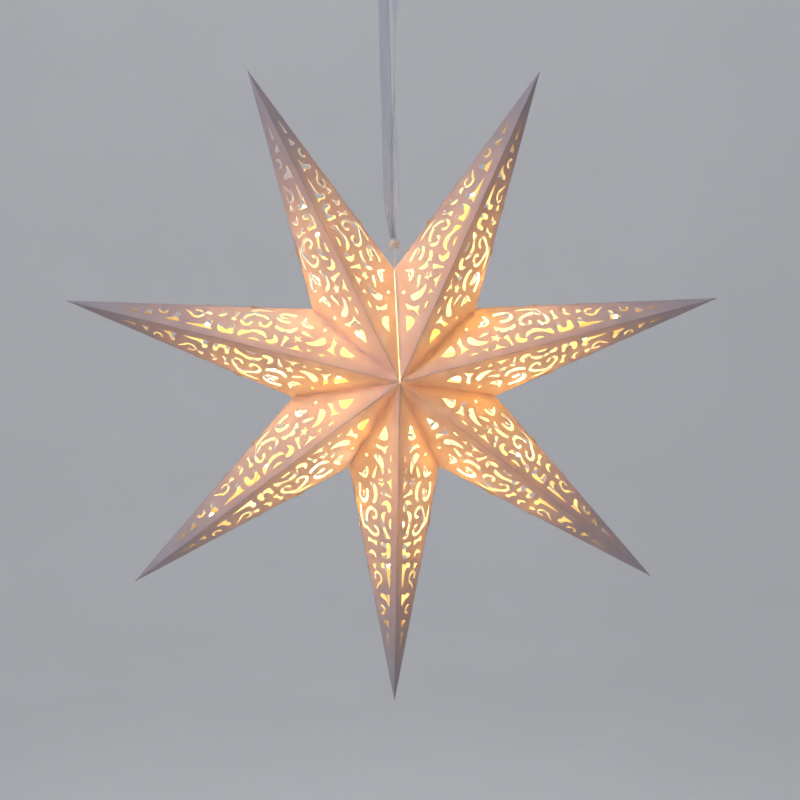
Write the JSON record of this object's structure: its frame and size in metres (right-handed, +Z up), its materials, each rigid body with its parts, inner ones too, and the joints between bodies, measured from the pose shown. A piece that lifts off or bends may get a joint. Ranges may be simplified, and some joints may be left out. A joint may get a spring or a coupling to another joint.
{
  "type": "paper star lantern",
  "caption": "Pointed die-cut paper star lantern that folds like a fan, lit from inside by battery fairy lights, on a ribbon hanging loop with a bead.",
  "frame": {"origin": "top of the hanging loop, where it goes over its hook", "axes": "+Z up, the star lies in the XZ plane, its front towards -Y"},
  "size_m": [0.5928, 0.1671, 0.664],
  "materials": {
    "lilac_card": "matt card",
    "pressed_card": "matt card, pressed flat",
    "warm_lights": "clear warm-white lamps on bare wire",
    "organza": "sheer organza",
    "bead": "pearly gloss",
    "white_cord": "waxed thread",
    "case_plastic": "fine satin",
    "switch_plastic": "fine satin",
    "steel": "brushed"
  },
  "bodies": {
    "hanger": {"ribbon_loop": "organza"},
    "bead": {"bead": "bead"},
    "core": {"centre_cord": "white_cord", "battery_case": "case_plastic", "coin_cells": "steel", "battery_contact": "steel", "tip_bottom": "pressed_card", "creases_bottom": "pressed_card", "light_string_bottom": "warm_lights"},
    "battery_cover": {"battery_cover": "case_plastic"},
    "switch": {"switch_slider": "switch_plastic"},
    "arm_upper_right": {"tip_upper_right": "pressed_card", "creases_upper_right": "pressed_card", "light_string_upper_right": "warm_lights", "tie_cord_right": "white_cord"},
    "arm_right": {"tip_right": "pressed_card", "creases_right": "pressed_card", "light_string_right": "warm_lights"},
    "arm_lower_right": {"tip_lower_right": "pressed_card", "creases_lower_right": "pressed_card", "light_string_lower_right": "warm_lights"},
    "arm_lower_left": {"tip_lower_left": "pressed_card", "creases_lower_left": "pressed_card", "light_string_lower_left": "warm_lights"},
    "arm_left": {"tip_left": "pressed_card", "creases_left": "pressed_card", "light_string_left": "warm_lights"},
    "arm_upper_left": {"tip_upper_left": "pressed_card", "creases_upper_left": "pressed_card", "light_string_upper_left": "warm_lights", "tie_cord_left": "white_cord"},
    "face_bottom_front_clockwise": {"face_bottom_front_clockwise": "lilac_card"},
    "face_bottom_front_counterclockwise": {"face_bottom_front_counterclockwise": "lilac_card"},
    "face_bottom_back_clockwise": {"face_bottom_back_clockwise": "lilac_card"},
    "face_bottom_back_counterclockwise": {"face_bottom_back_counterclockwise": "lilac_card"},
    "face_lower_right_front_clockwise": {"face_lower_right_front_clockwise": "lilac_card"},
    "face_lower_right_front_counterclockwise": {"face_lower_right_front_counterclockwise": "lilac_card"},
    "face_lower_right_back_clockwise": {"face_lower_right_back_clockwise": "lilac_card"},
    "face_lower_right_back_counterclockwise": {"face_lower_right_back_counterclockwise": "lilac_card"},
    "face_right_front_clockwise": {"face_right_front_clockwise": "lilac_card"},
    "face_right_front_counterclockwise": {"face_right_front_counterclockwise": "lilac_card"},
    "face_right_back_clockwise": {"face_right_back_clockwise": "lilac_card"},
    "face_right_back_counterclockwise": {"face_right_back_counterclockwise": "lilac_card"},
    "face_upper_right_front_clockwise": {"face_upper_right_front_clockwise": "lilac_card"},
    "face_upper_right_front_counterclockwise": {"face_upper_right_front_counterclockwise": "lilac_card"},
    "face_upper_right_back_clockwise": {"face_upper_right_back_clockwise": "lilac_card"},
    "face_upper_right_back_counterclockwise": {"face_upper_right_back_counterclockwise": "lilac_card"},
    "face_upper_left_front_clockwise": {"face_upper_left_front_clockwise": "lilac_card"},
    "face_upper_left_front_counterclockwise": {"face_upper_left_front_counterclockwise": "lilac_card"},
    "face_upper_left_back_clockwise": {"face_upper_left_back_clockwise": "lilac_card"},
    "face_upper_left_back_counterclockwise": {"face_upper_left_back_counterclockwise": "lilac_card"},
    "face_left_front_clockwise": {"face_left_front_clockwise": "lilac_card"},
    "face_left_front_counterclockwise": {"face_left_front_counterclockwise": "lilac_card"},
    "face_left_back_clockwise": {"face_left_back_clockwise": "lilac_card"},
    "face_left_back_counterclockwise": {"face_left_back_counterclockwise": "lilac_card"},
    "face_lower_left_front_clockwise": {"face_lower_left_front_clockwise": "lilac_card"},
    "face_lower_left_front_counterclockwise": {"face_lower_left_front_counterclockwise": "lilac_card"},
    "face_lower_left_back_clockwise": {"face_lower_left_back_clockwise": "lilac_card"},
    "face_lower_left_back_counterclockwise": {"face_lower_left_back_counterclockwise": "lilac_card"}
  },
  "joints": [
    {"name": "star_turn", "type": "hinge", "parent": "hanger", "child": "core", "pos_m": [0, 0, -0.241], "axis": [0, 0, 1], "range_deg": [-180, 180], "stiffness_Nm_per_rad": 0.002},
    {"name": "bead_slide", "type": "slide", "parent": "hanger", "child": "bead", "axis": [0, 0, 1], "range_m": [0, 0.04], "deforming": ["ribbon_loop"]},
    {"name": "star_fold", "type": "hinge", "parent": "core", "child": "arm_upper_right", "pos_m": [0, 0, -0.36], "axis": [0, 1, 0], "range_deg": [0, 133.16], "deforming": ["creases_bottom", "creases_lower_right", "creases_right", "creases_upper_right", "creases_upper_left", "creases_left", "creases_lower_left"]},
    {"name": "fold_right", "type": "hinge", "parent": "core", "child": "arm_right", "pos_m": [0, 0, -0.36], "axis": [0, 1, 0], "range_deg": [0, 88.8]},
    {"name": "fold_lower_right", "type": "hinge", "parent": "core", "child": "arm_lower_right", "pos_m": [0, 0, -0.36], "axis": [0, 1, 0], "range_deg": [0, 44.41]},
    {"name": "fold_lower_left", "type": "hinge", "parent": "core", "child": "arm_lower_left", "pos_m": [0, 0, -0.36], "axis": [0, -1, 0], "range_deg": [0, 44.41]},
    {"name": "fold_left", "type": "hinge", "parent": "core", "child": "arm_left", "pos_m": [0, 0, -0.36], "axis": [0, -1, 0], "range_deg": [0, 88.8]},
    {"name": "fold_upper_left", "type": "hinge", "parent": "core", "child": "arm_upper_left", "pos_m": [0, 0, -0.36], "axis": [0, -1, 0], "range_deg": [0, 133.18]},
    {"name": "crease_bottom_front_clockwise", "type": "hinge", "parent": "core", "child": "face_bottom_front_clockwise", "pos_m": [0, 0, -0.664], "axis": [0.0998, 0.2945, -0.9504], "range_deg": [0, 31.19]},
    {"name": "crease_bottom_front_counterclockwise", "type": "hinge", "parent": "core", "child": "face_bottom_front_counterclockwise", "pos_m": [0, 0, -0.664], "axis": [0.0998, -0.2945, 0.9504], "range_deg": [0, 31.19]},
    {"name": "crease_bottom_back_clockwise", "type": "hinge", "parent": "core", "child": "face_bottom_back_clockwise", "pos_m": [0, 0, -0.664], "axis": [-0.0998, 0.2945, 0.9504], "range_deg": [0, 31.19]},
    {"name": "crease_bottom_back_counterclockwise", "type": "hinge", "parent": "core", "child": "face_bottom_back_counterclockwise", "pos_m": [0, 0, -0.664], "axis": [-0.0998, -0.2945, -0.9504], "range_deg": [0, 31.19]},
    {"name": "crease_lower_right_front_clockwise", "type": "hinge", "parent": "arm_lower_right", "child": "face_lower_right_front_clockwise", "pos_m": [0.23768, 0, -0.54954], "axis": [0.8053, 0.2945, -0.5146], "range_deg": [0, 31.19]},
    {"name": "crease_lower_right_front_counterclockwise", "type": "hinge", "parent": "arm_lower_right", "child": "face_lower_right_front_counterclockwise", "pos_m": [0.23768, 0, -0.54954], "axis": [-0.6809, -0.2945, 0.6706], "range_deg": [0, 31.19]},
    {"name": "crease_lower_right_back_clockwise", "type": "hinge", "parent": "arm_lower_right", "child": "face_lower_right_back_clockwise", "pos_m": [0.23768, 0, -0.54954], "axis": [-0.8053, 0.2945, 0.5146], "range_deg": [0, 31.19]},
    {"name": "crease_lower_right_back_counterclockwise", "type": "hinge", "parent": "arm_lower_right", "child": "face_lower_right_back_counterclockwise", "pos_m": [0.23768, 0, -0.54954], "axis": [0.6809, -0.2945, -0.6706], "range_deg": [0, 31.19]},
    {"name": "crease_right_front_clockwise", "type": "hinge", "parent": "arm_right", "child": "face_right_front_clockwise", "pos_m": [0.29638, 0, -0.29235], "axis": [0.9044, 0.2945, 0.3088], "range_deg": [0, 31.19]},
    {"name": "crease_right_front_counterclockwise", "type": "hinge", "parent": "arm_right", "child": "face_right_front_counterclockwise", "pos_m": [0.29638, 0, -0.29235], "axis": [-0.9488, -0.2945, -0.1142], "range_deg": [0, 31.19]},
    {"name": "crease_right_back_clockwise", "type": "hinge", "parent": "arm_right", "child": "face_right_back_clockwise", "pos_m": [0.29638, 0, -0.29235], "axis": [-0.9044, 0.2945, -0.3088], "range_deg": [0, 31.19]},
    {"name": "crease_right_back_counterclockwise", "type": "hinge", "parent": "arm_right", "child": "face_right_back_counterclockwise", "pos_m": [0.29638, 0, -0.29235], "axis": [0.9488, -0.2945, 0.1142], "range_deg": [0, 31.19]},
    {"name": "crease_upper_right_front_clockwise", "type": "hinge", "parent": "arm_upper_right", "child": "face_upper_right_front_clockwise", "pos_m": [0.1319, 0, -0.08611], "axis": [0.3225, 0.2945, 0.8996], "range_deg": [0, 31.19]},
    {"name": "crease_upper_right_front_counterclockwise", "type": "hinge", "parent": "arm_upper_right", "child": "face_upper_right_front_counterclockwise", "pos_m": [0.1319, 0, -0.08611], "axis": [-0.5023, -0.2945, -0.813], "range_deg": [0, 31.19]},
    {"name": "crease_upper_right_back_clockwise", "type": "hinge", "parent": "arm_upper_right", "child": "face_upper_right_back_clockwise", "pos_m": [0.1319, 0, -0.08611], "axis": [-0.3225, 0.2945, -0.8996], "range_deg": [0, 31.19]},
    {"name": "crease_upper_right_back_counterclockwise", "type": "hinge", "parent": "arm_upper_right", "child": "face_upper_right_back_counterclockwise", "pos_m": [0.1319, 0, -0.08611], "axis": [0.5023, -0.2945, 0.813], "range_deg": [0, 31.19]},
    {"name": "crease_upper_left_front_clockwise", "type": "hinge", "parent": "arm_upper_left", "child": "face_upper_left_front_clockwise", "pos_m": [-0.1319, 0, -0.08611], "axis": [-0.5023, 0.2945, 0.813], "range_deg": [0, 31.19]},
    {"name": "crease_upper_left_front_counterclockwise", "type": "hinge", "parent": "arm_upper_left", "child": "face_upper_left_front_counterclockwise", "pos_m": [-0.1319, 0, -0.08611], "axis": [0.3225, -0.2945, -0.8996], "range_deg": [0, 31.19]},
    {"name": "crease_upper_left_back_clockwise", "type": "hinge", "parent": "arm_upper_left", "child": "face_upper_left_back_clockwise", "pos_m": [-0.1319, 0, -0.08611], "axis": [0.5023, 0.2945, -0.813], "range_deg": [0, 31.19]},
    {"name": "crease_upper_left_back_counterclockwise", "type": "hinge", "parent": "arm_upper_left", "child": "face_upper_left_back_counterclockwise", "pos_m": [-0.1319, 0, -0.08611], "axis": [-0.3225, -0.2945, 0.8996], "range_deg": [0, 31.19]},
    {"name": "crease_left_front_clockwise", "type": "hinge", "parent": "arm_left", "child": "face_left_front_clockwise", "pos_m": [-0.29638, 0, -0.29235], "axis": [-0.9488, 0.2945, 0.1142], "range_deg": [0, 31.19]},
    {"name": "crease_left_front_counterclockwise", "type": "hinge", "parent": "arm_left", "child": "face_left_front_counterclockwise", "pos_m": [-0.29638, 0, -0.29235], "axis": [0.9044, -0.2945, -0.3088], "range_deg": [0, 31.19]},
    {"name": "crease_left_back_clockwise", "type": "hinge", "parent": "arm_left", "child": "face_left_back_clockwise", "pos_m": [-0.29638, 0, -0.29235], "axis": [0.9488, 0.2945, -0.1142], "range_deg": [0, 31.19]},
    {"name": "crease_left_back_counterclockwise", "type": "hinge", "parent": "arm_left", "child": "face_left_back_counterclockwise", "pos_m": [-0.29638, 0, -0.29235], "axis": [-0.9044, -0.2945, 0.3088], "range_deg": [0, 31.19]},
    {"name": "crease_lower_left_front_clockwise", "type": "hinge", "parent": "arm_lower_left", "child": "face_lower_left_front_clockwise", "pos_m": [-0.23768, 0, -0.54954], "axis": [-0.6809, 0.2945, -0.6706], "range_deg": [0, 31.19]},
    {"name": "crease_lower_left_front_counterclockwise", "type": "hinge", "parent": "arm_lower_left", "child": "face_lower_left_front_counterclockwise", "pos_m": [-0.23768, 0, -0.54954], "axis": [0.8053, -0.2945, 0.5146], "range_deg": [0, 31.19]},
    {"name": "crease_lower_left_back_clockwise", "type": "hinge", "parent": "arm_lower_left", "child": "face_lower_left_back_clockwise", "pos_m": [-0.23768, 0, -0.54954], "axis": [0.6809, 0.2945, 0.6706], "range_deg": [0, 31.19]},
    {"name": "crease_lower_left_back_counterclockwise", "type": "hinge", "parent": "arm_lower_left", "child": "face_lower_left_back_counterclockwise", "pos_m": [-0.23768, 0, -0.54954], "axis": [-0.8053, -0.2945, -0.5146], "range_deg": [0, 31.19]},
    {"name": "cover_slide", "type": "slide", "parent": "core", "child": "battery_cover", "axis": [0, 0, -1], "range_m": [0, 0.024]},
    {"name": "switch_slide", "type": "slide", "parent": "core", "child": "switch", "axis": [0, 0, 1], "range_m": [0, 0.004]}
  ],
  "couplings": [
    {"joint": "fold_right", "follows": "star_fold", "ratio": 0.66667},
    {"joint": "fold_lower_right", "follows": "star_fold", "ratio": 0.33333},
    {"joint": "fold_lower_left", "follows": "star_fold", "ratio": 0.33333},
    {"joint": "fold_left", "follows": "star_fold", "ratio": 0.66667},
    {"joint": "fold_upper_left", "follows": "star_fold", "ratio": 1},
    {"joint": "crease_bottom_front_clockwise", "follows": "star_fold", "ratio": 0.23405},
    {"joint": "crease_bottom_front_counterclockwise", "follows": "star_fold", "ratio": 0.23405},
    {"joint": "crease_bottom_back_clockwise", "follows": "star_fold", "ratio": 0.23405},
    {"joint": "crease_bottom_back_counterclockwise", "follows": "star_fold", "ratio": 0.23405},
    {"joint": "crease_lower_right_front_clockwise", "follows": "star_fold", "ratio": 0.23405},
    {"joint": "crease_lower_right_front_counterclockwise", "follows": "star_fold", "ratio": 0.23405},
    {"joint": "crease_lower_right_back_clockwise", "follows": "star_fold", "ratio": 0.23405},
    {"joint": "crease_lower_right_back_counterclockwise", "follows": "star_fold", "ratio": 0.23405},
    {"joint": "crease_right_front_clockwise", "follows": "star_fold", "ratio": 0.23405},
    {"joint": "crease_right_front_counterclockwise", "follows": "star_fold", "ratio": 0.23405},
    {"joint": "crease_right_back_clockwise", "follows": "star_fold", "ratio": 0.23405},
    {"joint": "crease_right_back_counterclockwise", "follows": "star_fold", "ratio": 0.23405},
    {"joint": "crease_upper_right_front_clockwise", "follows": "star_fold", "ratio": 0.23405},
    {"joint": "crease_upper_right_front_counterclockwise", "follows": "star_fold", "ratio": 0.23405},
    {"joint": "crease_upper_right_back_clockwise", "follows": "star_fold", "ratio": 0.23405},
    {"joint": "crease_upper_right_back_counterclockwise", "follows": "star_fold", "ratio": 0.23405},
    {"joint": "crease_upper_left_front_clockwise", "follows": "star_fold", "ratio": 0.23405},
    {"joint": "crease_upper_left_front_counterclockwise", "follows": "star_fold", "ratio": 0.23405},
    {"joint": "crease_upper_left_back_clockwise", "follows": "star_fold", "ratio": 0.23405},
    {"joint": "crease_upper_left_back_counterclockwise", "follows": "star_fold", "ratio": 0.23405},
    {"joint": "crease_left_front_clockwise", "follows": "star_fold", "ratio": 0.23405},
    {"joint": "crease_left_front_counterclockwise", "follows": "star_fold", "ratio": 0.23405},
    {"joint": "crease_left_back_clockwise", "follows": "star_fold", "ratio": 0.23405},
    {"joint": "crease_left_back_counterclockwise", "follows": "star_fold", "ratio": 0.23405},
    {"joint": "crease_lower_left_front_clockwise", "follows": "star_fold", "ratio": 0.23405},
    {"joint": "crease_lower_left_front_counterclockwise", "follows": "star_fold", "ratio": 0.23405},
    {"joint": "crease_lower_left_back_clockwise", "follows": "star_fold", "ratio": 0.23405},
    {"joint": "crease_lower_left_back_counterclockwise", "follows": "star_fold", "ratio": 0.23405}
  ]
}
